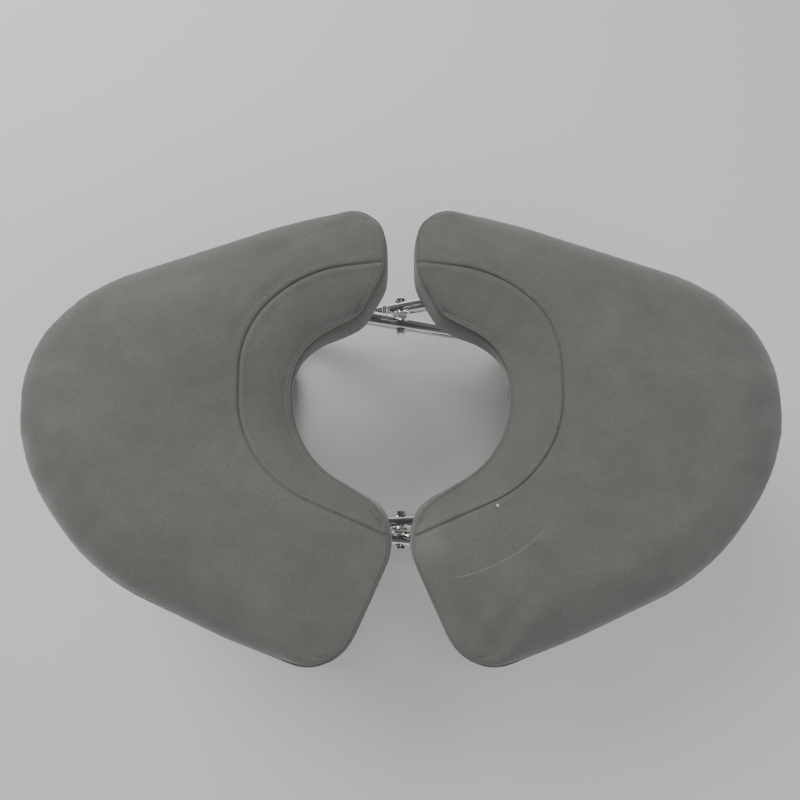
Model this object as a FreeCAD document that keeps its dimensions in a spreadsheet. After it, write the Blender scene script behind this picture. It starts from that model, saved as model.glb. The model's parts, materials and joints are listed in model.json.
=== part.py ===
import FreeCAD, Part

import math
import os

import Sketcher

# Face cradle cushion: two padded wings around a face opening, carried on a pair of
# chromed U-shaped legs that cross like scissors. +Z is up, +X to the right, +Y to the rear,
# and the origin is on the floor under the middle of the cushion.

os.makedirs("parts", exist_ok=True)
doc = FreeCAD.newDocument("face_cradle_cushion")

# ---------------------------------------------------------------- driving dimensions

DIMENSIONS = {
    "foot_axis_height": 10.5,
    "leg_slope": 35,
    "foot_reach": 120,
    "hinge_reach": 42,
    "frame_centre": 12.5,
    "tube_radius": 6.35,
    "tube_bore": 5.15,
    "tube_bend": 30,
    "tube_past_hinge": 7,
    "inner_leg_half": 88,
    "outer_leg_half": 101.7,
    "hinge_drop": 16,
    "board_thickness": 9,
    "board_inset": 12,
    "cover_thickness": 1.5,
    "hem_width": 24,
    "dust_cover_gap": 0.3,
    "dust_cover_thickness": 1.2,
    "cushion_height": 60,
    "edge_drop": 15,
    "edge_round": 18,
    "opening_centre": 20,
    "flat_half_width": 92,
    "flat_half_depth": 76,
    "seam_half_width": 116.5,
    "seam_half_depth": 96,
    "welt_radius": 1.6,
    "plate_thickness": 3,
    "plate_gap": 0.3,
    "bracket_inboard": 10,
    "bracket_outboard": 30,
    "bracket_eye": 9,
    "flange_depth": 30,
    "pin_radius": 3,
    "pin_clearance": 0.05,
    "pin_head_radius": 5.5,
    "pin_head_height": 2.5,
    "bolt_radius": 3,
    "bolt_head_radius": 5,
    "bolt_head_height": 1.8,
    "nut_radius": 4.8,
    "nut_height": 3.2,
    "nut_dome": 1,
    "washer_radius": 5.6,
    "turning_gap": 0.1,
    "stop_radius": 2,
    "stop_gap": 0.05,
    "foot_radius": 8.5,
    "foot_length": 30,
    "foot_width": 14,
    "foot_place": 42,
    "plug_cap": 2,
    "plug_stem": 3.5,
    "plug_round": 1.2,
    "screw_radius": 2,
    "screw_head_radius": 3.75,
    "screw_head_height": 2,
    "screw_length": 12,
    "insert_radius": 3.4,
    "insert_length": 8,
    "insert_well_spare": 0.5,
    "screw_inboard": 15.5,
    "screw_outboard": 25.5,
    "screw_edge": 7,
    "staple_count": 18,
    "staple_crown": 10,
    "staple_wire": 0.6,
    "staple_leg": 6,
}

# The corners of one wing's outline, clockwise from the rear tip: how far across from the
# middle, how far along to the rear, and the radius that rounds the corner.
OUTLINE = {
    "rear_tip": (10.5, 171.5, 31),
    "rear_edge": (85, 164.5, 200),
    "outer_rear": (245, 111.5, 120),
    "outer_side": (290, 57, 94),
    "outer_front": (290, -21, 120),
    "front_corner": (235, -105, 170),
    "front_edge": (120, -157.5, 200),
    "front_tip": (45.8, -176.8, 42),
    "front_nose": (-4.2, -67, 40),
    "opening_front": (80.5, -15.4, 70),
    "opening_rear": (80.5, 58, 48),
    "rear_nose": (29.5, 84, 28),
    "rear_side": (10.5, 116.5, 35),
}

sheet = doc.addObject("Spreadsheet::Sheet", "dimensions")
row = 0


def write_cell(alias, value):
    global row
    row += 1
    sheet.set(f"A{row}", alias)
    sheet.set(f"B{row}", str(value))
    sheet.setAlias(f"B{row}", alias)


for alias, value in DIMENSIONS.items():
    write_cell(alias, value)
for corner, (across, along, rounding) in OUTLINE.items():
    write_cell(f"{corner}_across", across)
    write_cell(f"{corner}_along", along)
    write_cell(f"{corner}_round", rounding)
doc.recompute()


def size(alias):
    return float(getattr(sheet, alias))


SLOPE = math.radians(size("leg_slope"))
PIVOT_HEIGHT = size("foot_axis_height") + size("foot_reach") * math.tan(SLOPE)
HINGE_HEIGHT = PIVOT_HEIGHT + size("hinge_reach") * math.tan(SLOPE)
HINGE_ARM = size("hinge_reach") / math.cos(SLOPE)
FOOT_ARM = size("foot_reach") / math.cos(SLOPE)
BOARD_BOTTOM = HINGE_HEIGHT + size("hinge_drop")
BOARD_TOP = BOARD_BOTTOM + size("board_thickness")
CUSHION_TOP = BOARD_BOTTOM + size("cushion_height")
EDGE_TOP = CUSHION_TOP - size("edge_drop")
FLANGE_TOP = BOARD_BOTTOM - size("cover_thickness")
CENTRE = size("frame_centre")
PIN_SHANK = size("pin_radius") - size("pin_clearance")
BOLT_SHANK = size("bolt_radius") - size("pin_clearance")
X_AXIS = FreeCAD.Vector(1, 0, 0)
Y_AXIS = FreeCAD.Vector(0, 1, 0)
Z_AXIS = FreeCAD.Vector(0, 0, 1)

NODES = []


def node(label, shape):
    """A sub-part whose shape is made by code, under its own label."""
    piece = doc.addObject("Part::Feature", label)
    piece.Label = label
    piece.Shape = shape
    NODES.append(piece)
    return piece


def vector(x, y, z):
    return FreeCAD.Vector(x, y, z)


# ---------------------------------------------------------------- the wing's outline


def rounded_edges(corners, height):
    """Straight runs joined by tangent arcs, as a list of edges in order."""
    points = [vector(x, y, height) for x, y, _ in corners]
    ends = []
    for i, point in enumerate(points):
        before = (point - points[i - 1]).normalize()
        after = (points[(i + 1) % len(points)] - point).normalize()
        half_turn = before.getAngle(after) / 2
        radius = corners[i][2]
        reach = radius * math.tan(half_turn)
        inward = (after - before).normalize()
        middle = point + inward * (radius / math.cos(half_turn) - radius)
        ends.append((point - before * reach, middle, point + after * reach))
    edges = []
    for i, (start, middle, end) in enumerate(ends):
        edges.append(Part.makeLine(ends[i - 1][2], start))
        edges.append(Part.Arc(start, middle, end).toShape())
    return edges


def wing_corners(side):
    """The outline's corners on one side: side is -1 on the left and 1 on the right."""
    return [
        (side * size(f"{name}_across"), size(f"{name}_along"), size(f"{name}_round"))
        for name in OUTLINE
    ]


def wing_face(side, inset, height):
    wire = Part.Wire(rounded_edges(wing_corners(side), height))
    if inset:
        wire = wire.makeOffset2D(-inset)
    return Part.Face(wire)


def wing_slab(side, inset, bottom, top):
    return wing_face(side, inset, bottom).extrude(vector(0, 0, top - bottom))


def ellipse_wire(half_width, half_depth, height):
    centre = vector(0, size("opening_centre"), height)
    curve = Part.Ellipse(centre, half_width, half_depth)
    return Part.Wire(curve.toShape())


def dish(lift):
    """The hollow that slopes from the sewn ridge down to the edge of the face opening."""
    low = EDGE_TOP - lift
    rise = size("edge_drop")
    overshoot = 2
    width_step = size("seam_half_width") - size("flat_half_width")
    depth_step = size("seam_half_depth") - size("flat_half_depth")
    bottom = ellipse_wire(size("flat_half_width"), size("flat_half_depth"), low)
    top = ellipse_wire(
        size("flat_half_width") + overshoot * width_step,
        size("flat_half_depth") + overshoot * depth_step,
        low + overshoot * rise,
    )
    return Part.makeLoft([bottom, top], True, True)


def cushion_solid(side, inset, bottom):
    """The padded wing's shape, inset all over from the outside of the cover."""
    slab = wing_slab(side, inset, bottom, CUSHION_TOP - inset)
    top_face = max(slab.Faces, key=lambda face: face.CenterOfMass.z)
    rounded = slab.makeFillet(size("edge_round") - inset, top_face.Edges)
    return rounded.cut(dish(inset))


def welt_solid(side):
    """A round cord sewn along the edge of the face opening."""
    centre = size("opening_centre")
    run = []
    for edge in rounded_edges(wing_corners(side), EDGE_TOP):
        middle = edge.valueAt((edge.FirstParameter + edge.LastParameter) / 2)
        across = middle.x / size("flat_half_width")
        along = (middle.y - centre) / size("flat_half_depth")
        if across ** 2 + along ** 2 < 1 and abs(middle.x) > size("rear_nose_across"):
            run.append(edge)
    path = Part.Wire(Part.__sortEdges__(run))
    start = path.Edges[0]
    ring = Part.Circle(
        start.valueAt(start.FirstParameter),
        start.tangentAt(start.FirstParameter),
        size("welt_radius"),
    )
    return path.makePipeShell([Part.Wire(ring.toShape())], True, False)


# ---------------------------------------------------------------- hinge hardware


class Hinge:
    """Where one wing's hinge sits: its own leg, and the side of the tube its plates are on."""

    def __init__(self, side, leg_half, outward):
        self.side = side
        self.x = side * size("hinge_reach")
        self.tube_side = leg_half + outward * size("tube_radius")
        self.outward = outward

    def ends(self):
        return (("rear", 1), ("front", -1))

    def y(self, end, offset):
        """A place beside the tube: offset is measured from it, away from the plate's side."""
        return CENTRE + end * (self.tube_side + self.outward * offset)

    def screw_places(self, end):
        first = -size("screw_edge")
        last = first - size("flange_depth") + 3 * size("screw_edge")
        for along in (first, last):
            for across in (size("screw_inboard"), size("screw_outboard")):
                yield self.x + self.side * across, self.y(end, along)


HINGES = {
    "left": Hinge(-1, size("inner_leg_half"), -1),
    "right": Hinge(1, size("outer_leg_half"), 1),
}


def bar(x, z, y_from, y_to, radius):
    """A round bar along Y."""
    low, high = sorted((y_from, y_to))
    return Part.makeCylinder(radius, high - low, vector(x, low, z), Y_AXIS)


def block(x_from, x_to, y_from, y_to, z_from, z_to):
    y_low, y_high = sorted((y_from, y_to))
    corner = vector(x_from, y_low, z_from)
    return Part.makeBox(x_to - x_from, y_high - y_low, z_to - z_from, corner)


def bracket_solid(hinge, end):
    """An angle bracket: a plate with the hinge eye beside the tube, and a flange above it."""
    inboard = hinge.x - hinge.side * size("bracket_inboard")
    outboard = hinge.x + hinge.side * size("bracket_outboard")
    near = hinge.y(end, size("plate_gap"))
    far = hinge.y(end, size("plate_gap") + size("plate_thickness"))
    back = hinge.y(end, size("plate_gap") + size("plate_thickness") - size("flange_depth"))
    flange_bottom = FLANGE_TOP - size("plate_thickness")
    eye = size("bracket_eye")
    web = Part.makePolygon([
        vector(inboard, near, FLANGE_TOP),
        vector(inboard, near, flange_bottom),
        vector(hinge.x - hinge.side * eye, near, HINGE_HEIGHT),
        vector(hinge.x + hinge.side * eye, near, HINGE_HEIGHT),
        vector(outboard, near, flange_bottom),
        vector(outboard, near, FLANGE_TOP),
        vector(inboard, near, FLANGE_TOP),
    ])
    plate = Part.Face(web).extrude(vector(0, far - near, 0))
    plate = plate.fuse(bar(hinge.x, HINGE_HEIGHT, near, far, eye))
    flange = block(*sorted((inboard, outboard)), far, back, flange_bottom, FLANGE_TOP)
    solid = plate.fuse(flange)
    solid = solid.cut(bar(hinge.x, HINGE_HEIGHT, near, far, PIN_SHANK))
    for x, y in hinge.screw_places(end):
        hole = Part.makeCylinder(size("screw_radius"), 2 * size("plate_thickness"),
                                 vector(x, y, FLANGE_TOP - 1.5 * size("plate_thickness")))
        solid = solid.cut(hole)
    return solid.removeSplitter()


def hinge_pin(hinge, end):
    """A headed pin, peened flush in the far wall of the tube."""
    inner = hinge.y(end, -2 * size("tube_radius") + size("pin_clearance"))
    outer = hinge.y(end, size("plate_gap") + size("plate_thickness"))
    head_end = hinge.y(
        end, size("plate_gap") + size("plate_thickness") + size("pin_head_height"))
    shank = bar(hinge.x, HINGE_HEIGHT, inner, outer, PIN_SHANK)
    head = bar(hinge.x, HINGE_HEIGHT, outer, head_end, size("pin_head_radius"))
    return shank.fuse(head).removeSplitter()


def screw(x, y):
    flange_bottom = FLANGE_TOP - size("plate_thickness")
    shank = Part.makeCylinder(size("screw_radius"), size("screw_length"),
                              vector(x, y, flange_bottom))
    head = Part.makeCylinder(size("screw_head_radius"), size("screw_head_height"),
                             vector(x, y, flange_bottom - size("screw_head_height")))
    return shank.fuse(head).removeSplitter()


def insert(x, y):
    outside = Part.makeCylinder(size("insert_radius"), size("insert_length"),
                                vector(x, y, BOARD_BOTTOM))
    bore = Part.makeCylinder(size("screw_radius"), size("insert_length"),
                             vector(x, y, BOARD_BOTTOM))
    return outside.cut(bore)


def staples(side, hem_bottom):
    """Staples through the hem into the board, evenly spaced along a line inside the edge."""
    inset = (size("board_inset") + size("hem_width")) / 2
    line = wing_face(side, inset, hem_bottom).OuterWire
    crown, wire, leg = size("staple_crown"), size("staple_wire"), size("staple_leg")
    count = int(size("staple_count"))
    made = []
    for i in range(count):
        place, ahead = [line.discretize(Number=count * 20 + 1)[i * 20 + step] for step in (0, 1)]
        turn = math.degrees(math.atan2(ahead.y - place.y, ahead.x - place.x))
        staple = Part.makeBox(crown, wire, wire, vector(-crown / 2, -wire / 2, -wire))
        for end in (-crown / 2, crown / 2 - wire):
            staple = staple.fuse(Part.makeBox(wire, wire, leg, vector(end, -wire / 2, 0)))
        staple = staple.removeSplitter()
        staple.rotate(vector(0, 0, 0), Z_AXIS, turn)
        staple.translate(place)
        made.append(staple)
    return made


# ---------------------------------------------------------------- the two padded wings


def make_wing(word, side):
    hinge = HINGES[word]
    cover = size("cover_thickness")
    hem_bottom = BOARD_BOTTOM - cover
    places = [place for _, end in hinge.ends() for place in hinge.screw_places(end)]
    screws = [screw(x, y) for x, y in places]
    inserts = [insert(x, y) for x, y in places]
    stapled = staples(side, hem_bottom)

    board = wing_slab(side, size("board_inset"), BOARD_BOTTOM, BOARD_TOP)
    wells = [
        Part.makeCylinder(size("insert_radius"), size("insert_length") + size("insert_well_spare"),
                          vector(x, y, BOARD_BOTTOM)) for x, y in places
    ]
    board = board.cut(Part.makeCompound(wells)).cut(Part.makeCompound(stapled))

    foam = cushion_solid(side, cover, BOARD_BOTTOM)
    foam = foam.cut(wing_slab(side, size("board_inset"), BOARD_BOTTOM, BOARD_TOP))
    envelope = cushion_solid(side, 0, hem_bottom)
    hem_hole = wing_slab(side, size("hem_width"), hem_bottom, BOARD_BOTTOM)
    shell = envelope.cut(cushion_solid(side, cover, BOARD_BOTTOM)).cut(hem_hole)

    welt = welt_solid(side)
    shell = shell.cut(welt)
    split = EDGE_TOP - cover
    lower = Part.makeBox(700, 400, split, vector(-350, -200, 0))
    seam = ellipse_wire(size("seam_half_width"), size("seam_half_depth"), split)
    inside_seam = Part.Face(seam).extrude(vector(0, 0, 2 * size("edge_drop")))
    side_panel = shell.common(lower).cut(Part.makeCompound(stapled + screws))
    upper = shell.cut(lower)

    dust_inset = size("hem_width") + size("dust_cover_gap")
    dust_bottom = BOARD_BOTTOM - size("dust_cover_thickness")
    dust = wing_slab(side, dust_inset, dust_bottom, BOARD_BOTTOM)
    dust = dust.cut(Part.makeCompound(screws))

    node(f"{word}_base_board", board)
    node(f"{word}_foam_core", foam)
    node(f"{word}_top_panel", upper.cut(inside_seam))
    node(f"{word}_inner_band", upper.common(inside_seam))
    node(f"{word}_side_panel", side_panel)
    node(f"{word}_welt", welt)
    node(f"{word}_dust_cover", dust)
    node(f"{word}_staples", Part.makeCompound(stapled))
    for name, end in hinge.ends():
        node(f"{word}_{name}_bracket", bracket_solid(hinge, end))
    node(f"{word}_hinge_pins", Part.makeCompound([hinge_pin(hinge, e) for _, e in hinge.ends()]))
    node(f"{word}_bracket_screws", Part.makeCompound(screws))
    node(f"{word}_board_inserts", Part.makeCompound(inserts))


make_wing("left", -1)
make_wing("right", 1)

# ---------------------------------------------------------------- the crossed legs


def plane_of(body, role):
    return next(f for f in body.Origin.OriginFeatures if f.Role == role)


def new_sketch(body, name, role):
    sketch = body.newObject("Sketcher::SketchObject", name)
    sketch.AttachmentSupport = (plane_of(body, role), "")
    sketch.MapMode = "FlatFace"
    return sketch


def add_round(sketch, x, y, radius_cell):
    circle = sketch.addGeometry(Part.Circle(vector(x, y, 0), Z_AXIS, size(radius_cell)))
    constraint = sketch.addConstraint(Sketcher.Constraint("Radius", circle, size(radius_cell)))
    sketch.setExpression(f"Constraints[{constraint}]", f"dimensions.{radius_cell}")
    return circle


def make_leg(word, toward, half_cell):
    """A U-bent tube, drawn flat: its arms run along X and its foot rail along Y."""
    half = size(half_cell)
    bend = size("tube_bend")
    top = -HINGE_ARM - size("tube_past_hinge")
    body = doc.addObject("PartDesign::Body", f"{word}_leg_tube")
    body.Label = f"{word}_leg_tube"

    path = new_sketch(body, f"{word}_path", "XY_Plane")
    corner = FOOT_ARM - bend
    slant = bend * math.sqrt(0.5)
    runs = [
        Part.LineSegment(vector(top, half, 0), vector(corner, half, 0)),
        Part.Arc(vector(corner, half, 0),
                 vector(corner + slant, half - bend + slant, 0),
                 vector(FOOT_ARM, half - bend, 0)),
        Part.LineSegment(vector(FOOT_ARM, half - bend, 0), vector(FOOT_ARM, bend - half, 0)),
        Part.Arc(vector(FOOT_ARM, bend - half, 0),
                 vector(corner + slant, bend - half - slant, 0),
                 vector(corner, -half, 0)),
        Part.LineSegment(vector(corner, -half, 0), vector(top, -half, 0)),
    ]
    for run in runs:
        path.addGeometry(run)

    ring = new_sketch(body, f"{word}_section", "YZ_Plane")
    ring.AttachmentOffset = FreeCAD.Placement(vector(0, 0, top), FreeCAD.Rotation())
    for cell in ("tube_radius", "tube_bore"):
        add_round(ring, half, 0, cell)
    doc.recompute()
    tube = body.newObject("PartDesign::AdditivePipe", f"{word}_bent_tube")
    tube.Profile = ring
    tube.Spine = path
    doc.recompute()

    whole = body.Shape.Volume
    cross = new_sketch(body, f"{word}_cross_holes", "XZ_Plane")
    add_round(cross, 0, 0, "bolt_radius")
    add_round(cross, -HINGE_ARM, 0, "pin_radius")
    doc.recompute()
    holes = body.newObject("PartDesign::Pocket", f"{word}_holes")
    holes.Profile = cross
    holes.Type = "Length"
    holes.Midplane = True
    holes.Length = 4 * size("outer_leg_half")
    doc.recompute()
    if body.Shape.Volume >= whole:
        raise RuntimeError(f"{word}: the cross holes cut nothing")
    body.Placement = leg_place(toward)
    NODES.append(body)


def leg_place(toward):
    """From a leg drawn flat to its slope: toward is the side that its foot stands on."""
    tilt = FreeCAD.Rotation(Y_AXIS, size("leg_slope"))
    if toward < 0:
        tilt = FreeCAD.Rotation(Z_AXIS, 180).multiply(tilt)
    return FreeCAD.Placement(vector(0, CENTRE, PIVOT_HEIGHT), tilt)


def leg_plugs(word, toward, half):
    """Domed plastic plugs that close the two open ends of a leg tube."""
    top = -HINGE_ARM - size("tube_past_hinge")
    made = []
    for end in (-half, half):
        stem = Part.makeCylinder(size("tube_bore"), size("plug_stem"), vector(top, end, 0), X_AXIS)
        cap = Part.makeCylinder(size("tube_radius"), size("plug_cap"),
                                vector(top - size("plug_cap"), end, 0), X_AXIS)
        cap = cap.makeFillet(size("plug_round"), [
            edge for edge in cap.Edges
            if edge.Curve.TypeId == "Part::GeomCircle"
            and edge.Curve.Center.x < top - 0.5 * size("plug_cap")
        ])
        made.append(cap.fuse(stem))
    piece = node(f"{word}_leg_plugs", Part.makeCompound(made))
    piece.Placement = leg_place(toward)


def leg_feet(word, side):
    """Rubber sleeves on the foot rail, with a flat sole that stands on the floor."""
    x = side * size("foot_reach")
    height = size("foot_axis_height")
    made = []
    for end in (-1, 1):
        start = CENTRE + end * size("foot_place") - size("foot_length") / 2
        stop = start + size("foot_length")
        sleeve = bar(x, height, start, stop, size("foot_radius"))
        half = size("foot_width") / 2
        sole = block(x - half, x + half, start, stop, 0, height)
        made.append(sleeve.fuse(sole).cut(bar(x, height, start, stop, size("tube_radius"))))
    node(f"{word}_leg_feet", Part.makeCompound([foot.removeSplitter() for foot in made]))


def beside(end, offset):
    return CENTRE + end * offset


def pivot_parts():
    """The bolts that the legs turn on, with a nylon washer between the tubes."""
    tube = size("tube_radius")
    inner_face = size("inner_leg_half") - tube
    washer_face = size("inner_leg_half") + tube
    washer_back = size("outer_leg_half") - tube - size("turning_gap")
    outer_face = size("outer_leg_half") + tube + size("turning_gap")
    bolts, washers, nuts = [], [], []
    for _, end in HINGES["left"].ends():
        tip = beside(end, inner_face - size("nut_height") + size("nut_dome"))
        under_head = beside(end, outer_face)
        shank = bar(0, PIVOT_HEIGHT, tip, under_head, BOLT_SHANK)
        head = bar(0, PIVOT_HEIGHT, under_head, beside(end, outer_face + size("bolt_head_height")),
                   size("bolt_head_radius"))
        bolts.append(shank.fuse(head).removeSplitter())
        washer = bar(0, PIVOT_HEIGHT, beside(end, washer_face), beside(end, washer_back),
                     size("washer_radius"))
        washers.append(washer.cut(bar(0, PIVOT_HEIGHT, beside(end, washer_face),
                                      beside(end, washer_back), BOLT_SHANK)))
        nut = bar(0, PIVOT_HEIGHT, beside(end, inner_face - size("nut_height")),
                  beside(end, inner_face), size("nut_radius"))
        nuts.append(nut.cut(bar(0, PIVOT_HEIGHT, tip, beside(end, inner_face),
                                BOLT_SHANK)))
    node("pivot_bolts", Part.makeCompound(bolts))
    node("pivot_washers", Part.makeCompound(washers))
    node("pivot_cap_nuts", Part.makeCompound(nuts))


def stop_pins():
    """Pins welded along the inner leg, against which the outer leg rests when open."""
    reach = size("tube_radius") + size("stop_radius")
    x = -(reach + size("stop_gap")) / math.sin(SLOPE)
    made = []
    for _, end in HINGES["left"].ends():
        near = beside(end, size("inner_leg_half") - size("stop_radius"))
        far = beside(end, size("outer_leg_half") + size("stop_radius"))
        made.append(bar(x, PIVOT_HEIGHT, near, far, size("stop_radius")))
    node("stop_pins", Part.makeCompound(made))


make_leg("inner", 1, "inner_leg_half")
make_leg("outer", -1, "outer_leg_half")
leg_plugs("inner", 1, size("inner_leg_half"))
leg_plugs("outer", -1, size("outer_leg_half"))
leg_feet("inner", 1)
leg_feet("outer", -1)
pivot_parts()
stop_pins()

# ---------------------------------------------------------------- check and write

doc.recompute()
for thing in doc.Objects:
    if "Invalid" in thing.State or "Error" in thing.State:
        raise RuntimeError(f"{thing.Label} did not build: {thing.State}")
for piece in NODES:
    if piece.Shape.isNull() or not piece.Shape.isValid():
        raise RuntimeError(f"{piece.Label} has no sound shape")
for piece in NODES:
    piece.Shape.exportStep(f"parts/{piece.Label}.step")
    print(piece.Label, len(piece.Shape.Solids), "solids,", round(piece.Shape.Volume / 1000, 2), "cm3")
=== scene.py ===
import json
import math

import bmesh
import bpy
import numpy as np
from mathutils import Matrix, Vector
from mathutils.kdtree import KDTree

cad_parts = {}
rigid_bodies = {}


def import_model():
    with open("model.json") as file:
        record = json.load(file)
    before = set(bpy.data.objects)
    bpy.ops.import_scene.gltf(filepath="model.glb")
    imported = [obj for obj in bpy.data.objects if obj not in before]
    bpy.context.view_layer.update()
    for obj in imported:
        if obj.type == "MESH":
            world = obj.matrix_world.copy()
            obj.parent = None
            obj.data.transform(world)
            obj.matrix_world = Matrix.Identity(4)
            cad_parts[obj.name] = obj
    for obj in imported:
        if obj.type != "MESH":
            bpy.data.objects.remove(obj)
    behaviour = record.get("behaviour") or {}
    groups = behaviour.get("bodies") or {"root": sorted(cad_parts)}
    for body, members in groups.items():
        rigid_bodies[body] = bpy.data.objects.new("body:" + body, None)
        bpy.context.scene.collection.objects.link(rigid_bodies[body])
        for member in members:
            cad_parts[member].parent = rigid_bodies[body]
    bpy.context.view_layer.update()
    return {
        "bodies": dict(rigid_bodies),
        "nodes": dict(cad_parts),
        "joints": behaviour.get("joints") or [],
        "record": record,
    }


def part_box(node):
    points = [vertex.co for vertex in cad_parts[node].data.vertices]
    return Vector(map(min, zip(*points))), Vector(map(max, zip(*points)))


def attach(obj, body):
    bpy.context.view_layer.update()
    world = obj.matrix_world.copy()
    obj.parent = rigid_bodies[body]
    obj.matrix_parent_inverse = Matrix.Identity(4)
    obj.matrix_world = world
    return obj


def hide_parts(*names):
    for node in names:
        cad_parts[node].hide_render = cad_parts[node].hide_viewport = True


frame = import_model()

# Face cradle cushion: two padded suede wings around a face opening, on crossed chrome legs.
# Shapes are worked out in millimetres for the right wing and mirrored for the left one.

MM = 0.001
WINGS = {"left": -1, "right": 1}


# ------------------------------------------------------------------ outlines


# The right wing's outline, clockwise from the rear tip: across, along, corner radius (mm).
WING_CORNERS = [
    (10.5, 171.5, 31),
    (85, 164.5, 200),
    (245, 111.5, 120),
    (290, 57, 94),
    (290, -21, 120),
    (235, -105, 170),
    (120, -157.5, 200),
    (45.8, -176.8, 42),
    (-4.2, -67, 40),
    (80.5, -15.4, 70),
    (80.5, 58, 48),
    (29.5, 84, 28),
    (10.5, 116.5, 35),
]

# Corners of the seam between the top panel and the inner band, from the rear to the front.
SEAM_CORNERS = [
    (70.5, 115.2, 95),
    (116.8, 73.5, 70),
    (116.8, -5, 80),
    (83.9, -44.3, 85),
]


def rounded_run(corners, closed):
    """Points about half a millimetre apart along straight runs joined by tangent arcs."""
    spots = np.array([corner[:2] for corner in corners], float)
    last = len(spots) - 1
    points = []
    for i, spot in enumerate(spots):
        if not closed and i in (0, last):
            points.append(spot)
            continue
        before = spot - spots[i - 1]
        after = spots[(i + 1) % len(spots)] - spot
        before /= np.linalg.norm(before)
        after /= np.linalg.norm(after)
        turn = math.atan2(before[0] * after[1] - before[1] * after[0], before @ after)
        radius = corners[i][2]
        start = spot - before * radius * math.tan(abs(turn) / 2)
        inward = np.array([-before[1], before[0]]) * math.copysign(1, turn)
        centre = start + inward * radius
        for angle in np.linspace(0, turn, max(3, int(radius * abs(turn) * 2))):
            arm = start - centre
            cosine, sine = math.cos(angle), math.sin(angle)
            points.append(centre + [
                arm[0] * cosine - arm[1] * sine, arm[0] * sine + arm[1] * cosine])
    if closed:
        points.append(points[0])
    return np.array(points)


class Path:
    """A line in plan that can be read at any distance along it."""

    def __init__(self, corners, closed=False):
        run = rounded_run(corners, closed)
        reach = np.append(0, np.cumsum(np.linalg.norm(np.diff(run, axis=0), axis=1)))
        self.closed = closed
        self.length = reach[-1]
        self.places = np.linspace(0, self.length, int(self.length * 2))
        self.points = np.column_stack([np.interp(self.places, reach, run[:, k]) for k in (0, 1)])

    def at(self, place):
        place = place % self.length if self.closed else min(max(place, 0), self.length)
        step = place / self.length * (len(self.points) - 1)
        low = min(int(step), len(self.points) - 2)
        return self.points[low] + (self.points[low + 1] - self.points[low]) * (step - low)

    def outward(self, place):
        """The direction to the left of travel, which is outwards on a clockwise outline."""
        ahead = self.at(place + 2) - self.at(place - 2)
        ahead /= np.linalg.norm(ahead)
        return np.array([-ahead[1], ahead[0]])

    def near(self, x, y):
        return self.places[np.argmin(np.hypot(self.points[:, 0] - x, self.points[:, 1] - y))]


def smooth(low, high, value):
    share = min(1.0, max(0.0, (value - low) / (high - low)))
    return share * share * (3 - 2 * share)


# ------------------------------------------------------------------ the padded wing's form

outline = Path(WING_CORNERS, closed=True)
AT_REAR_TIP = outline.near(19.5, 162)
AT_FRONT_TIP = outline.near(52, -166)
AT_FRONT_SEAM = outline.near(7.3, -75)
AT_FRONT_NOSE = outline.near(9.5, -64)
AT_REAR_NOSE = outline.near(30.5, 83.5)
AT_REAR_SEAM = outline.near(11.3, 121.5)

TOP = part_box("left_top_panel")[1].z / MM
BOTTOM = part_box("left_side_panel")[0].z / MM
BOARD_MIDDLE = (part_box("left_base_board")[0].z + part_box("left_base_board")[1].z) / 2 / MM

# The edge's round and the side panel's stand-out, by the opening and at the outer edge.
TIGHT_ROUND, OUTER_ROUND = 1.7, 30
TIGHT_SHOULDER, OUTER_SHOULDER = 2.5, 0.8
TIP_BEFORE, TIP_AFTER = 20, 75

# Depths below the highest point: the seam, the panel away from it, the opening's edge, and
# how much higher that edge is at the front and at the rear nose.
SEAM_DROP, PANEL_DROP, OPENING_DROP = 2.6, 0.3, 15.5
FRONT_NOSE_RISE, REAR_NOSE_RISE = 8.5, 1.5
BAND_SAG_POWER = 1.08
SEAM_DIP_REACH = 13
OUTER_FALL, OUTER_FALL_POWER = 5.5, 2.6
GAP_FALL, GAP_REACH = 2.2, 9
BAND_RUN, PANEL_RUN = 250, 330

# The stuffing's relief: how far it stands, then for a ridge how far from the seam and how wide.
BAND_PUFF = 1.5
BAND_RIDGE = (0.7, 3.2, 2.2)
PANEL_ROLL = (0.4, 4.2, 3)
GROOVE_DEPTH, GROOVE_WIDTH = 1.3, 0.8

# The side, from the turned edge down: steps in the turn, the valley that the piping lies in,
# the wall's share of the way down with its bulge, and the rounded foot.
TURN_STEPS = 7
PIPING_VALLEY = [(1.1, 0.5), (1.3, 1.1), (0.4, 1.9)]
PIPING_RADIUS, PIPING_OUT, PIPING_DOWN = 1.25, 0.3, 0.2
WALL_START = 2.6
WALL_BULGE = [
    (0.0, 0.35), (0.05, 0.62), (0.12, 0.85), (0.22, 1.0), (0.36, 1.08), (0.52, 1.1),
    (0.68, 1.05), (0.84, 0.95), (1.0, 0.8)]
FOOT_ROUND = 4.5
FOOT_SHOULDER = 0.2
UNDERCUT, UNDERCUT_POWER = 8.5, 1.15
HEM_WIDTH, HEM_MIDWAY, HEM_TUCK = 24, 8, 0.4

COLUMNS = 190
BAND_ROWS, PANEL_ROWS = 20, 46


def outerness(place):
    """0 along the opening and the gap, 1 along the outer edge, smooth round the tips."""
    place = place % outline.length
    return smooth(AT_REAR_TIP - TIP_BEFORE, AT_REAR_TIP + TIP_AFTER, place) * smooth(
        -(AT_FRONT_TIP + TIP_BEFORE), -(AT_FRONT_TIP - TIP_AFTER), -place)


def edge_round(place):
    return TIGHT_ROUND + (OUTER_ROUND - TIGHT_ROUND) * outerness(place)


def shoulder(place):
    """How far the side panel stands out past the piping."""
    return TIGHT_SHOULDER + (OUTER_SHOULDER - TIGHT_SHOULDER) * outerness(place)


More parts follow.
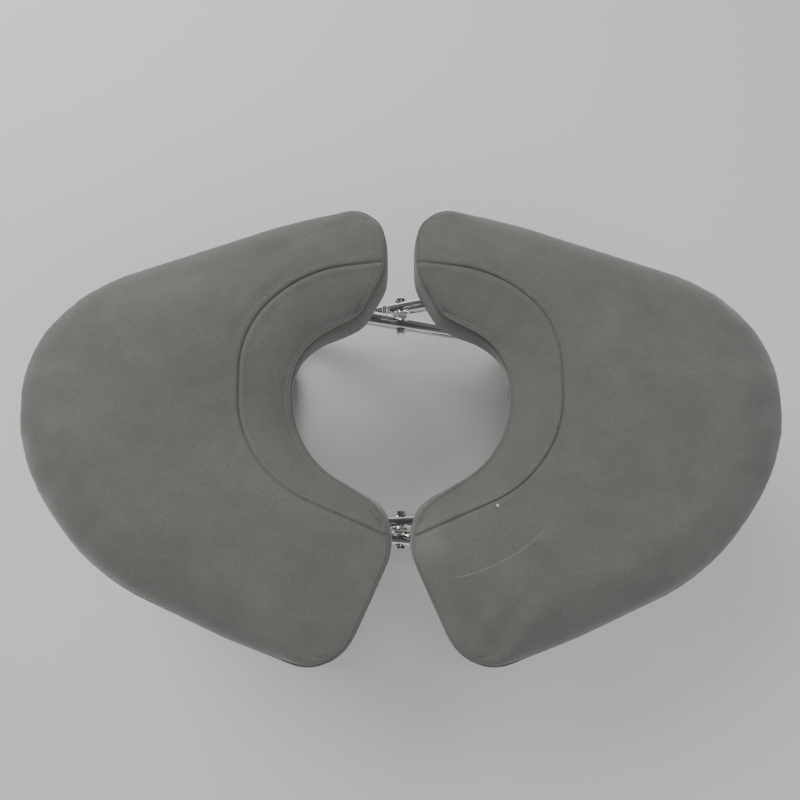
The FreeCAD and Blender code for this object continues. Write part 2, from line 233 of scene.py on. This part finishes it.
def undercut(place):
    """How far the side panel leans in at its foot, most at the sides of the opening."""
    share = (place % outline.length - AT_FRONT_NOSE) / (AT_REAR_NOSE - AT_FRONT_NOSE)
    if not 0 < share < 1:
        return 0.0
    return UNDERCUT * smooth(0.02, 0.3, share) * smooth(-0.95, -0.6, -share)


def inset_point(place, inset):
    return outline.at(place) - outline.outward(place) * inset


def top_edge(place):
    """The edge of the top's patch, where it begins to turn over the side."""
    return inset_point(place, edge_round(place) + shoulder(place))


def between(start, stop):
    return lambda share: start + (stop - start) * share


hole_side = between(AT_REAR_NOSE, AT_FRONT_NOSE)
outer_side = between(AT_REAR_TIP, AT_FRONT_TIP)
rear_band_side = between(AT_REAR_NOSE, AT_REAR_SEAM)
front_band_side = between(AT_FRONT_NOSE, AT_FRONT_SEAM)
rear_panel_side = between(AT_REAR_SEAM, AT_REAR_TIP + outline.length)
front_panel_side = between(AT_FRONT_SEAM, AT_FRONT_TIP)

seam = Path([(*top_edge(AT_REAR_SEAM), 0)] + SEAM_CORNERS + [(*top_edge(AT_FRONT_SEAM), 0)])


def seam_point(share):
    return seam.at(share * seam.length)


def coons(u, v, low, high, rear, front):
    """A point of the patch between four edges, by Coons' rule."""
    across = (1 - v) * low(u) + v * high(u)
    along = (1 - u) * rear(v) + u * front(v)
    corners = ((1 - u) * (1 - v) * low(0) + u * (1 - v) * low(1)
               + (1 - u) * v * high(0) + u * v * high(1))
    return across + along - corners


def hole_point(u):
    return top_edge(hole_side(u))


def outer_point(u):
    return top_edge(outer_side(u))


NEAR_SEAM = [0, 0.45, 0.9, 1.4, 2.0, 2.8, 3.8, 5.2]


def graded(row, rows, width):
    """The distance from the seam of a row: close together beside it, then even to the edge."""
    if row < len(NEAR_SEAM):
        return NEAR_SEAM[row]
    share = (row - len(NEAR_SEAM) + 1) / (rows - len(NEAR_SEAM) + 1)
    return NEAR_SEAM[-1] + (width - NEAR_SEAM[-1]) * share


def groove(distance):
    return -GROOVE_DEPTH * math.exp(-(distance / GROOVE_WIDTH) ** 2)


def bump(distance, middle, width):
    return math.exp(-((distance - middle) / width) ** 2)


def gap_fall(u, width):
    """The top eases down beside the gap between the wings."""
    rear, front = u * width, (1 - u) * width
    return -GAP_FALL * (math.exp(-rear / GAP_REACH) + math.exp(-front / GAP_REACH))


def band_point(u, row):
    low, high = hole_point(u), seam_point(u)
    width = float(np.linalg.norm(high - low))
    distance = graded(row, BAND_ROWS, width)
    share = distance / width
    spot = coons(
        u, 1 - share, hole_point, seam_point,
        lambda v: top_edge(rear_band_side(v)), lambda v: top_edge(front_band_side(v)))
    drop = OPENING_DROP - FRONT_NOSE_RISE * smooth(0.74, 1.0, u)
    drop -= REAR_NOSE_RISE * smooth(-0.2, 0, -u)
    ridge, middle, spread = BAND_RIDGE
    height = TOP - SEAM_DROP - (drop - SEAM_DROP) * share ** BAND_SAG_POWER
    height += (BAND_PUFF * math.sin(math.pi * share)
               + ridge * bump(distance, middle, spread) * (1 - share))
    return spot, height + groove(distance) + 0.6 * gap_fall(u, BAND_RUN)


def panel_point(u, row):
    low, high = seam_point(u), outer_point(u)
    width = float(np.linalg.norm(high - low))
    distance = graded(row, PANEL_ROWS, width)
    share = distance / width
    spot = coons(
        u, share, seam_point, outer_point,
        lambda v: top_edge(rear_panel_side(v)), lambda v: top_edge(front_panel_side(v)))
    roll, middle, spread = PANEL_ROLL
    height = TOP - PANEL_DROP - (SEAM_DROP - PANEL_DROP) * math.exp(-distance / SEAM_DIP_REACH)
    height += roll * bump(distance, middle, spread) - OUTER_FALL * share ** OUTER_FALL_POWER
    return spot, height + groove(distance) + gap_fall(u, PANEL_RUN)


def slack(side, spot):
    """The cover's gentle unevenness, different on each wing."""
    x, y = spot
    return (0.45 * math.sin(x / 31 + 1.3 * side) * math.cos(y / 27 - 0.8 * side)
            + 0.22 * math.sin((0.6 * x + y) / 13 + 2.1 * side))


def puckers(side, along, distance):
    """Small gathers across the seam, where the thread pulls the cloth in."""
    beat = math.sin(along / 1.9 + 0.9 * math.sin(along / 17 + side))
    return 0.16 * beat * math.exp(-distance / 4.5)


# Fine folds pressed into the cover: the side it is on, from, to, then depth and width (mm).
CREASES = [
    (1, (22, 133), (41, 124), 0.5, 2.0),
    (1, (44, 119), (66, 108), 0.35, 1.8),
    (-1, (50, -65), (39, -83), 0.4, 2.2),
    (-1, (39, -83), (39, -93), 0.3, 2.2),
]


def creased(side, spot):
    depth = 0.0
    for crease_side, start, stop, deep, wide in CREASES:
        if crease_side == side:
            line = np.subtract(stop, start)
            along = np.clip((spot - start) @ line / (line @ line), 0, 1)
            away = np.linalg.norm(spot - start - along * line)
            depth += deep * math.exp(-(away / wide) ** 2)
    return depth


def side_levels():
    """Sections of the side from the top's edge to the hem, as (inset, height) rules."""
    levels = []
    for step in range(1, TURN_STEPS + 1):
        angle = math.radians(step * 90 / TURN_STEPS)

        def turned(place, edge, angle=angle):
            radius = edge_round(place)
            return (shoulder(place) + radius * (1 - math.sin(angle)),
                    edge - radius * (1 - math.cos(angle)))
        levels.append(turned)

    def below_piping(inset, drop):
        return lambda place, edge: (shoulder(place) + inset, edge - edge_round(place) - drop)
    levels += [below_piping(inset, drop) for inset, drop in PIPING_VALLEY]

    def wall(share, bulge):
        def level(place, edge):
            high = edge - edge_round(place) - WALL_START
            low = BOTTOM + FOOT_ROUND
            lean = undercut(place) * share ** UNDERCUT_POWER
            full = shoulder(place) * (1 - bulge) + lean
            return full, high + (low - high) * share
        return level
    levels += [wall(share, bulge) for share, bulge in WALL_BULGE]
    for angle in (30, 60, 90):
        turn = math.radians(angle)
        levels.append(lambda place, edge, turn=turn: (
            FOOT_SHOULDER * shoulder(place) + undercut(place) + FOOT_ROUND * (1 - math.cos(turn)),
            BOTTOM + FOOT_ROUND * (1 - math.sin(turn))))
    levels.append(lambda place, edge: (HEM_WIDTH - HEM_MIDWAY, BOTTOM))
    levels.append(lambda place, edge: (HEM_WIDTH, BOTTOM))
    levels.append(lambda place, edge: (HEM_WIDTH + HEM_TUCK, BOARD_MIDDLE))
    return levels


def wing_form(side):
    """One closed form for a stuffed wing, its cover drawn in along the seams."""
    bm = bmesh.new()
    place_layer = bm.verts.layers.float.new("place")
    edge_layer = bm.verts.layers.float.new("edge_height")
    rows = BAND_ROWS + PANEL_ROWS
    bmesh.ops.create_grid(bm, x_segments=COLUMNS, y_segments=rows, size=0.5)
    for vert in bm.verts:
        u = vert.co.x + 0.5
        row = round((vert.co.y + 0.5) * rows)
        in_band = row <= BAND_ROWS
        steps = BAND_ROWS - row if in_band else row - BAND_ROWS
        width = band_width(u) if in_band else panel_width(u)
        distance = graded(steps, BAND_ROWS if in_band else PANEL_ROWS, width)
        share = distance / width
        spot, height = band_point(u, steps) if in_band else panel_point(u, steps)
        if row == 0:
            vert[place_layer] = hole_side(u)
        elif row == rows:
            vert[place_layer] = outer_side(u)
        elif in_band:
            vert[place_layer] = (rear_band_side if u < 0.5 else front_band_side)(1 - share)
        else:
            vert[place_layer] = (rear_panel_side if u < 0.5 else front_panel_side)(share)
        vert[edge_layer] = height
        inside = min(width - distance, u * seam.length, (1 - u) * seam.length)
        height += slack(side, spot) * smooth(0, 40, inside)
        height += puckers(side, u * seam.length, distance) * smooth(0, 8, inside)
        height -= creased(side, spot) * smooth(0, 6, inside)
        vert.co = (spot[0], spot[1], height)
    rim = [edge for edge in bm.edges if edge.is_boundary]
    for level in side_levels():
        made = bmesh.ops.extrude_edge_only(bm, edges=rim)["geom"]
        for vert in (item for item in made if isinstance(item, bmesh.types.BMVert)):
            place, edge = vert[place_layer], vert[edge_layer]
            inset, height = level(place, edge)
            spot = inset_point(place, inset)
            vert.co = (spot[0], spot[1], height)
        rim = [item for item in made if isinstance(item, bmesh.types.BMEdge) and item.is_boundary]
    bmesh.ops.triangle_fill(bm, edges=rim)
    bmesh.ops.scale(bm, verts=bm.verts, vec=(side * MM, MM, MM))
    bmesh.ops.recalc_face_normals(bm, faces=bm.faces)
    return bm


def band_width(u):
    return float(np.linalg.norm(seam_point(u) - hole_point(u)))


def panel_width(u):
    return float(np.linalg.norm(outer_point(u) - seam_point(u)))


# ------------------------------------------------------------------ pieces

# Settling the covers as cloth: cell size, frames, pressure, and how far a point may move (m).
SETTLE_CELL = 0.0055
SETTLE_FRAMES = 20
SETTLE_PRESSURE = 4.0
MOST_MOVED = Vector((0.0012, 0.0012, 0.0035))
HELD_NEAR = 0.0045
HELD_HEM = 6
CARRIED_BY, CARRY_SOFTNESS = 6, 0.0008


def tree_of(spots):
    tree = KDTree(len(spots))
    for i, spot in enumerate(spots):
        tree.insert(spot, i)
    tree.balance()
    return tree


def seam_anchors(side):
    """Points along the lines of stitching that hold the cover in: the seam and the piping."""
    spots = [(*seam_point(u), band_point(u, 0)[1]) for u in np.linspace(0, 1, 160)]
    for place in np.linspace(0, outline.length, 520):
        spots.append((*inset_point(place, shoulder(place)), rim_height(place)))
    return [Vector((side * x, y, z)) * MM for x, y, z in spots]


def settle(piece, side):
    """Press the cover out from inside as simulated cloth, held along its stitching and hem."""
    scene = bpy.context.scene
    even = piece.modifiers.new("even_cells", "REMESH")
    even.mode = "VOXEL"
    even.voxel_size = SETTLE_CELL
    mesh = bpy.data.meshes.new_from_object(
        piece.evaluated_get(bpy.context.evaluated_depsgraph_get()))
    piece.modifiers.remove(even)
    trial = bpy.data.objects.new("cover_trial", mesh)
    scene.collection.objects.link(trial)
    stitching = tree_of(seam_anchors(side))
    held = trial.vertex_groups.new(name="held")
    hem_line = (BOTTOM + HELD_HEM) * MM
    held.add([vert.index for vert in mesh.vertices if vert.co.z < hem_line
              or stitching.find(vert.co)[2] < HELD_NEAR], 1.0, "REPLACE")
    cover = trial.modifiers.new("cover", "CLOTH")
    cover.settings.vertex_group_mass = "held"
    cover.settings.use_pressure = True
    cover.settings.uniform_pressure_force = SETTLE_PRESSURE
    cover.settings.effector_weights.gravity = 0
    cover.collision_settings.use_collision = False
    cover.point_cache.frame_start, cover.point_cache.frame_end = 1, SETTLE_FRAMES
    before = [vert.co.copy() for vert in mesh.vertices]
    for frame in range(1, SETTLE_FRAMES + 1):
        scene.frame_set(frame)
    settled = trial.evaluated_get(bpy.context.evaluated_depsgraph_get()).data
    moves = []
    for vert, old in zip(settled.vertices, before):
        move = vert.co - old
        moves.append(Vector([max(-most, min(most, step)) for step, most in zip(move, MOST_MOVED)]))
    nearby = tree_of(before)
    for vert in piece.data.vertices:
        found = nearby.find_n(vert.co, CARRIED_BY)
        weights = [1 / (gap + CARRY_SOFTNESS) for _, _, gap in found]
        pull = sum((moves[i] * weight for (_, i, _), weight in zip(found, weights)), Vector())
        vert.co += pull / sum(weights)
    bpy.data.objects.remove(trial)
    scene.frame_set(1)


def piece_from(bm, name, body, replaced):
    mesh = bpy.data.meshes.new(name)
    bm.to_mesh(mesh)
    bm.free()
    for polygon in mesh.polygons:
        polygon.use_smooth = True
    piece = bpy.data.objects.new(name, mesh)
    bpy.context.scene.collection.objects.link(piece)
    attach(piece, body)
    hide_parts(*replaced)
    return piece


# The lining: its inset, the board's underside, how far below it hangs, thickness, turned edge,
# ripple.
LINING_INSET = HEM_WIDTH + 0.4
LINING_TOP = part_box("left_base_board")[0].z / MM - 0.1
LINING_HANG, LINING_THICKNESS = 0.75, 0.4
TURNED_DOWN, TURNED_FROM, TURNED_TO = 0.25, 6, 7.5
RIPPLE, RIPPLE_FROM, RIPPLE_TO = 0.10, 8, 40
LINING_CELLS = (110, 50)


def lining_point(u, v):
    def edge(side_rule):
        return lambda share: inset_point(side_rule(share), LINING_INSET)
    rear = between(AT_REAR_NOSE, AT_REAR_TIP + outline.length)
    front = between(AT_FRONT_NOSE, AT_FRONT_TIP)
    return coons(u, v, edge(hole_side), edge(outer_side), edge(rear), edge(front))


def lining(side):
    """The thin black cloth under the board, its edge turned in, drawn tight but not quite flat."""
    bm = bmesh.new()
    bmesh.ops.create_grid(bm, x_segments=LINING_CELLS[0], y_segments=LINING_CELLS[1], size=0.5)
    for vert in bm.verts:
        u, v = vert.co.x + 0.5, vert.co.y + 0.5
        spot = lining_point(u, v)
        rim = min(np.linalg.norm(spot - lining_point(*close))
                  for close in ((0, v), (1, v), (u, 0), (u, 1)))
        turned = TURNED_DOWN * (1 - smooth(TURNED_FROM, TURNED_TO, rim))
        ripple = RIPPLE * math.sin(spot[0] / 9 + side) * math.sin((spot[1] - 0.4 * spot[0]) / 23)
        hung = LINING_TOP - LINING_HANG - turned
        vert.co = (spot[0], spot[1], hung - ripple * smooth(RIPPLE_FROM, RIPPLE_TO, rim))
    area = sum(face.calc_area() for face in bm.faces) * MM * MM
    width, depth = (np.ptp([vert.co[k] for vert in bm.verts]) * MM for k in (0, 1))
    bmesh.ops.solidify(bm, geom=bm.faces[:], thickness=LINING_THICKNESS)
    bmesh.ops.scale(bm, verts=bm.verts, vec=(side * MM, MM, MM))
    bmesh.ops.recalc_face_normals(bm, faces=bm.faces)
    return bm, area, (width, depth)


def top_edge_height(place):
    """The height of the top's edge at a place on the outline."""
    place = place % outline.length
    if place < AT_REAR_TIP:
        place += outline.length
    if place >= AT_REAR_SEAM:
        v = (place - AT_REAR_SEAM) / (AT_REAR_TIP + outline.length - AT_REAR_SEAM)
        return edge_heights["rear_panel"](v)
    if place >= AT_REAR_NOSE:
        return edge_heights["rear_band"]((place - AT_REAR_NOSE) / (AT_REAR_SEAM - AT_REAR_NOSE))
    if place >= AT_FRONT_NOSE:
        return edge_heights["hole"]((AT_REAR_NOSE - place) / (AT_REAR_NOSE - AT_FRONT_NOSE))
    if place >= AT_FRONT_SEAM:
        return edge_heights["front_band"]((AT_FRONT_NOSE - place) / (AT_FRONT_NOSE - AT_FRONT_SEAM))
    if place >= AT_FRONT_TIP:
        v = (place - AT_FRONT_SEAM) / (AT_FRONT_TIP - AT_FRONT_SEAM)
        return edge_heights["front_panel"](v)
    return edge_heights["outer"]((place - AT_REAR_TIP) / (AT_FRONT_TIP - AT_REAR_TIP))


def piping(side):
    """The rolled cord sewn between the top and the side, right round the wing."""
    curve = bpy.data.curves.new("piping_line", "CURVE")
    curve.dimensions = "3D"
    curve.bevel_depth = PIPING_RADIUS * MM
    curve.bevel_resolution = 3
    line = curve.splines.new("NURBS")
    count = 330
    line.points.add(count - 1)
    for i, point in enumerate(line.points):
        place = outline.length * i / count
        spot = inset_point(place, shoulder(place) - PIPING_OUT)
        height = rim_height(place) - PIPING_DOWN
        point.co = (side * spot[0] * MM, spot[1] * MM, height * MM, 1)
    line.order_u = 3
    line.use_cyclic_u = True
    return curve


def rim_height(place):
    return top_edge_height(place) - edge_round(place)


def sampled(rule):
    shares = np.linspace(0, 1, 101)
    values = [rule(share) for share in shares]
    return lambda share: float(np.interp(share, shares, values))


def side_rule(point_rule, rows, u, flip):
    """The top edge's height along one end of a patch, by its share of the way."""
    width = band_width(u) if rows == BAND_ROWS else panel_width(u)
    shares, heights = [], []
    for row in range(rows + 1):
        share = graded(row, rows, width) / width
        shares.append(1 - share if flip else share)
        heights.append(point_rule(u, row)[1])
    order = np.argsort(shares)
    return lambda v: float(np.interp(v, np.array(shares)[order], np.array(heights)[order]))


edge_heights = {
    "hole": sampled(lambda u: band_point(u, BAND_ROWS)[1]),
    "outer": sampled(lambda u: panel_point(u, PANEL_ROWS)[1]),
    "rear_band": side_rule(band_point, BAND_ROWS, 0.0, True),
    "front_band": side_rule(band_point, BAND_ROWS, 1.0, True),
    "rear_panel": side_rule(panel_point, PANEL_ROWS, 0.0, False),
    "front_panel": side_rule(panel_point, PANEL_ROWS, 1.0, False),
}

# ------------------------------------------------------------------ finishes


class Value:
    """One output of a node. Arithmetic on it adds Math nodes to its material."""

    def __init__(self, maker, socket):
        self.maker = maker
        self.socket = socket

    def _math(self, operation, first, second):
        return self.maker.node("ShaderNodeMath", {"operation": operation}, {0: first, 1: second})

    def __add__(self, other):
        return self._math("ADD", self, other)

    def __radd__(self, other):
        return self._math("ADD", other, self)

    def __sub__(self, other):
        return self._math("SUBTRACT", self, other)

    def __rsub__(self, other):
        return self._math("SUBTRACT", other, self)

    def __mul__(self, other):
        return self._math("MULTIPLY", self, other)

    def __rmul__(self, other):
        return self._math("MULTIPLY", other, self)

    def __pow__(self, other):
        return self._math("POWER", self, other)

    def __lt__(self, other):
        return self._math("LESS_THAN", self, other)

    def __gt__(self, other):
        return self._math("GREATER_THAN", self, other)

    def clamped(self, low, high):
        return self.maker.node("ShaderNodeMapRange", {}, {
            "Value": self, "From Min": low, "From Max": high, "To Min": 0.0, "To Max": 1.0})


class Finish:
    """One procedural material, read in the object's own coordinates."""

    def __init__(self, name, **constants):
        self.material = bpy.data.materials.new(name)
        self.material.use_nodes = True
        self.nodes = self.material.node_tree.nodes
        self.links = self.material.node_tree.links
        self.shader = self.nodes["Principled BSDF"]
        self.put(self.shader, {key.replace("_", " "): value for key, value in constants.items()})
        self.coordinates = self.node("ShaderNodeTexCoord", output="Object")

    def put(self, node, inputs):
        for key, value in inputs.items():
            if isinstance(value, Value):
                self.links.new(value.socket, node.inputs[key])
            else:
                node.inputs[key].default_value = value

    def node(self, kind, settings=None, inputs=None, output=0):
        node = self.nodes.new(kind)
        for key, value in (settings or {}).items():
            setattr(node, key, value)
        self.put(node, inputs or {})
        return Value(self, node.outputs[output])

    def noise(self, scale, detail=2.0, roughness=0.5, stretch=None):
        where = self.coordinates
        if stretch:
            where = self.node("ShaderNodeMapping", {}, {"Vector": where, "Scale": stretch})
        return self.node("ShaderNodeTexNoise", {}, {
            "Vector": where, "Scale": scale, "Detail": detail, "Roughness": roughness})

    def mix(self, share, first, second):
        """Colours mixed by share: 0 gives first, 1 gives second."""
        inputs = {0: share, 6: first, 7: second}
        node = self.nodes.new("ShaderNodeMix")
        node.data_type = "RGBA"
        for key, value in inputs.items():
            if isinstance(value, Value):
                self.links.new(value.socket, node.inputs[key])
            else:
                node.inputs[key].default_value = (*value, 1) if key else value
        return Value(self, node.outputs[2])

    def bump(self, height, strength, distance, normal=None):
        inputs = {"Height": height, "Strength": strength, "Distance": distance}
        if normal:
            inputs["Normal"] = normal
        return self.node("ShaderNodeBump", {}, inputs)

    def set(self, **inputs):
        self.put(self.shader, {key.replace("_", " "): value for key, value in inputs.items()})
        return self.material


# Marks of use on the right wing, in metres: a scratch along an arc, a rubbed patch, a speck.
SCRATCH_CENTRE, SCRATCH_RADIUS = (0.0155, 0.0111), 0.1183
SCRATCH_SPAN = (0.038, 0.099)
RUBBED_SPOT, RUBBED_REACH = (0.018, -0.080), 0.018
SPECK_SPOT, SPECK_RADIUS = (0.0676, -0.0549), 0.0008


def worn(finish, colour, tone):
    """The cover's colour with its marks of use."""
    pale = tuple(channel * 1.75 + 0.02 for channel in tone)
    x, y = (finish.node("ShaderNodeSeparateXYZ", {}, {0: finish.coordinates}, k) for k in (0, 1))

    def away(spot):
        return ((x - spot[0]) * (x - spot[0]) + (y - spot[1]) * (y - spot[1])) ** 0.5
    broken = finish.noise(120, 3, 0.6).clamped(0.38, 0.55)
    off_line = away(SCRATCH_CENTRE) - SCRATCH_RADIUS + 0.0016 * finish.noise(28, 2, 0.5)
    line = (off_line * off_line < 0.0000001) * (x > SCRATCH_SPAN[0]) * (x < SCRATCH_SPAN[1])
    colour = finish.mix(0.5 * line * (y < -0.05) * broken, colour, pale)
    rubbed = 1 - away(RUBBED_SPOT).clamped(0.2 * RUBBED_REACH, RUBBED_REACH)
    colour = finish.mix(0.4 * rubbed * finish.noise(240, 4, 0.7), colour, pale)
    return finish.mix(0.9 * (away(SPECK_SPOT) < SPECK_RADIUS), colour, (0.72, 0.71, 0.68))


def suede(name, tone):
    """Microfibre suede: a fine nap, soft brushed patches, and a little pale lint."""
    finish = Finish(name, Roughness=0.92, Sheen_Weight=0.35, Sheen_Roughness=0.45)
    finish.set(Sheen_Tint=(0.9, 0.88, 0.85, 1), Specular_IOR_Level=0.25)
    brushed = finish.noise(16, 3, 0.55).clamped(0.35, 0.65)
    cloudy = finish.noise(55, 3, 0.6).clamped(0.3, 0.7)
    nap = finish.noise(900, 2, 0.6)
    fibre = finish.noise(2600, 2, 0.5)
    light = tuple(channel * 1.14 for channel in tone)
    dark = tuple(channel * 0.86 for channel in tone)
    colour = finish.mix(0.55 * brushed + 0.45 * cloudy, dark, light)
    colour = finish.mix(0.52 * nap.clamped(0.3, 0.7), colour, tuple(c * 0.6 for c in tone))
    speck = finish.node("ShaderNodeTexVoronoi", {"feature": "F1"}, {
        "Vector": finish.coordinates, "Scale": 62.0, "Randomness": 1.0})
    chosen = finish.noise(31, 0, 0.5).clamped(0.66, 0.70)
    lint = (speck < 0.030) * chosen
    colour = finish.mix(0.75 * lint, colour, (0.62, 0.60, 0.56))
    colour = worn(finish, colour, tone)
    soft = finish.bump(nap + 0.6 * fibre, 0.35, 0.0006)
    return finish.set(Base_Color=colour, Normal=finish.bump(cloudy, 0.12, 0.0012, soft))


def chrome(name):
    """Bright plate with hairline wipe marks and a faint haze."""
    finish = Finish(name, Metallic=1.0)
    wipes = finish.noise(260, 3, 0.6, (1, 0.06, 1))
    haze = finish.noise(35, 3, 0.6).clamped(0.4, 0.75)
    colour = finish.mix(haze, (0.90, 0.90, 0.91), (0.78, 0.79, 0.80))
    return finish.set(
        Base_Color=colour,
        Roughness=0.03 + 0.04 * haze + 0.02 * wipes.clamped(0.45, 0.7),
        Normal=finish.bump(wipes, 0.006, 0.0004))


def zinc(name):
    finish = Finish(name, Metallic=1.0)
    grain = finish.noise(420, 3, 0.65)
    spangle = finish.node("ShaderNodeTexVoronoi", {}, {
        "Vector": finish.coordinates, "Scale": 180.0})
    colour = finish.mix(0.6 * grain + 0.4 * spangle, (0.42, 0.43, 0.45), (0.66, 0.66, 0.65))
    return finish.set(Base_Color=colour, Roughness=0.30 + 0.22 * grain,
                      Normal=finish.bump(grain, 0.08, 0.0004))


def moulded(name, tone, rough, grain_scale):
    finish = Finish(name, Specular_IOR_Level=0.4)
    grain = finish.noise(grain_scale, 3, 0.6)
    dust = finish.noise(40, 3, 0.6).clamped(0.45, 0.8)
    pale = tuple(channel * 1.8 + 0.015 for channel in tone)
    return finish.set(Base_Color=finish.mix(0.5 * dust, tone, pale),
                      Roughness=rough + 0.15 * dust,
                      Normal=finish.bump(grain, 0.18, 0.0004))


def brass(name):
    finish = Finish(name, Metallic=1.0)
    grain = finish.noise(300, 3, 0.6)
    return finish.set(Base_Color=finish.mix(grain, (0.55, 0.40, 0.17), (0.78, 0.62, 0.30)),
                      Roughness=0.25 + 0.2 * grain)


def plywood(name):
    finish = Finish(name)
    plies = finish.node("ShaderNodeTexWave", {"bands_direction": "Z"}, {
        "Vector": finish.coordinates, "Scale": 110.0, "Distortion": 0.6, "Detail": 2.0})
    grain = finish.noise(70, 5, 0.65, (0.08, 1, 1))
    colour = finish.mix(grain, (0.47, 0.31, 0.16), (0.72, 0.54, 0.33))
    return finish.set(Base_Color=finish.mix(0.35 * plies, colour, (0.30, 0.18, 0.09)),
                      Roughness=0.6 + 0.2 * grain, Normal=finish.bump(grain, 0.2, 0.0005))


def lining_finish(name):
    """Black spun-bonded cloth with its small pressed points."""
    finish = Finish(name, Roughness=0.85, Sheen_Weight=0.15)
    points = finish.node("ShaderNodeTexVoronoi", {"feature": "F1"}, {
        "Vector": finish.coordinates, "Scale": 520.0, "Randomness": 0.35})
    fibres = finish.noise(700, 4, 0.7)
    return finish.set(Base_Color=finish.mix(fibres, (0.012, 0.012, 0.013), (0.045, 0.045, 0.047)),
                      Normal=finish.bump(points + 0.5 * fibres, 0.4, 0.0005))


def foam_finish(name):
    finish = Finish(name, Roughness=0.9)
    cells = finish.node("ShaderNodeTexVoronoi", {}, {
        "Vector": finish.coordinates, "Scale": 700.0})
    return finish.set(Base_Color=finish.mix(cells, (0.72, 0.62, 0.36), (0.88, 0.80, 0.55)),
                      Normal=finish.bump(cells, 0.5, 0.0008))


SUEDE_TONE = (0.140, 0.138, 0.130)
FINISHES = {
    "cover": suede("suede", SUEDE_TONE),
    "piping": suede("suede_piping", tuple(c * 0.94 for c in SUEDE_TONE)),
    "foam": foam_finish("foam"),
    "plywood": plywood("plywood"),
    "dust_cloth": lining_finish("dust_cloth"),
    "plated_steel": zinc("zinc_plate"),
    "insert_metal": brass("brass"),
    "chrome_tube": chrome("chrome_tube"),
    "chrome_fittings": chrome("chrome_fittings"),
    "black_plastic": moulded("black_plastic", (0.018, 0.018, 0.019), 0.45, 500),
    "black_rubber": moulded("black_rubber", (0.022, 0.022, 0.022), 0.65, 900),
    "nylon": moulded("nylon", (0.62, 0.60, 0.54), 0.4, 400),
}


def paint(piece, slot_name):
    piece.data.materials.clear()
    piece.data.materials.append(FINISHES[slot_name])


for entry in frame["record"]["subparts"]:
    part = frame["nodes"][entry["node"]]
    for spot in part.material_slots:
        spot.material = FINISHES[entry["material_slot"]]


# ------------------------------------------------------------------ build the wings

for word, side in WINGS.items():
    cushion = piece_from(
        wing_form(side), f"{word}_cushion", f"{word}_wing",
        [f"{word}_foam_core", f"{word}_top_panel", f"{word}_inner_band", f"{word}_side_panel"])
    settle(cushion, side)
    paint(cushion, "cover")
    line = bpy.data.objects.new("piping_line", piping(side))
    bpy.context.scene.collection.objects.link(line)
    bpy.context.view_layer.update()
    mesh = bpy.data.meshes.new_from_object(line)
    bpy.data.objects.remove(line)
    bm = bmesh.new()
    bm.from_mesh(mesh)
    bmesh.ops.remove_doubles(bm, verts=bm.verts, dist=1e-6)
    bmesh.ops.recalc_face_normals(bm, faces=bm.faces)
    cord = piece_from(bm, f"{word}_piping", f"{word}_wing", [f"{word}_welt"])
    paint(cord, "piping")
    under, area, cut = lining(side)
    cloth = piece_from(
        under, f"{word}_lining", f"{word}_wing", [f"{word}_dust_cover"])
    paint(cloth, "dust_cloth")


# ------------------------------------------------------------------ floor, light and camera


def make_floor():
    bm = bmesh.new()
    bmesh.ops.create_grid(bm, x_segments=1, y_segments=1, size=4)
    mesh = bpy.data.meshes.new("floor")
    bm.to_mesh(mesh)
    bm.free()
    floor = bpy.data.objects.new("floor", mesh)
    bpy.context.scene.collection.objects.link(floor)
    pale = Finish("pale_floor", Roughness=0.7)
    pale.set(Base_Color=(0.70, 0.70, 0.68, 1))
    mesh.materials.append(pale.material)


def make_lamp(name, place, aim, size, power):
    lamp = bpy.data.lights.new(name, "AREA")
    lamp.shape = "RECTANGLE"
    lamp.size, lamp.size_y = size
    lamp.energy = power
    holder = bpy.data.objects.new(name, lamp)
    holder.location = place
    holder.rotation_euler = (Vector(aim) - Vector(place)).to_track_quat("-Z", "Y").to_euler()
    bpy.context.scene.collection.objects.link(holder)


# The room's brightness by height above the horizon.
ROOM_TONES = [(0.0, 0.10), (0.30, 0.15), (0.55, 0.26), (0.75, 0.50), (1.0, 0.62)]


def make_world():
    """A soft studio room: bright overhead, dim towards the horizon."""
    world = bpy.data.worlds.new("studio")
    world.use_nodes = True
    nodes, links = world.node_tree.nodes, world.node_tree.links
    sky = nodes["Background"]
    where = nodes.new("ShaderNodeTexCoord")
    parts = nodes.new("ShaderNodeSeparateXYZ")
    ramp = nodes.new("ShaderNodeValToRGB")
    links.new(where.outputs["Generated"], parts.inputs[0])
    links.new(parts.outputs[2], ramp.inputs[0])
    links.new(ramp.outputs[0], sky.inputs["Color"])
    stops = ramp.color_ramp.elements
    for position, _ in ROOM_TONES[1:-1]:
        stops.new(position)
    for stop, (position, grey) in zip(stops, ROOM_TONES):
        stop.position = position
        stop.color = (grey * 0.97, grey * 0.98, grey, 1)
    sky.inputs["Strength"].default_value = 1.0
    bpy.context.scene.world = world


CAMERA_PLACE = (-0.0007, -0.0293, 0.624)
CAMERA_TILT = 6.5
CAMERA_LENS = 27.0


def make_camera():
    camera = bpy.data.cameras.new("camera")
    camera.lens = CAMERA_LENS
    camera.sensor_width = 36.0
    camera.clip_start = 0.01
    holder = bpy.data.objects.new("camera", camera)
    holder.location = CAMERA_PLACE
    holder.rotation_euler = (math.radians(CAMERA_TILT), 0, 0)
    bpy.context.scene.collection.objects.link(holder)
    bpy.context.scene.camera = holder


make_floor()
make_lamp("window", (-1.0, 1.2, 1.3), (0, 0, 0.15), (1.2, 1.2), 31)
make_lamp("overhead", (0.05, 0.3, 1.6), (0, 0, 0.15), (0.6, 0.12), 3.0)
make_lamp("fill", (0.9, -0.9, 1.3), (0, 0, 0.15), (1.4, 1.4), 9)
make_world()
make_camera()
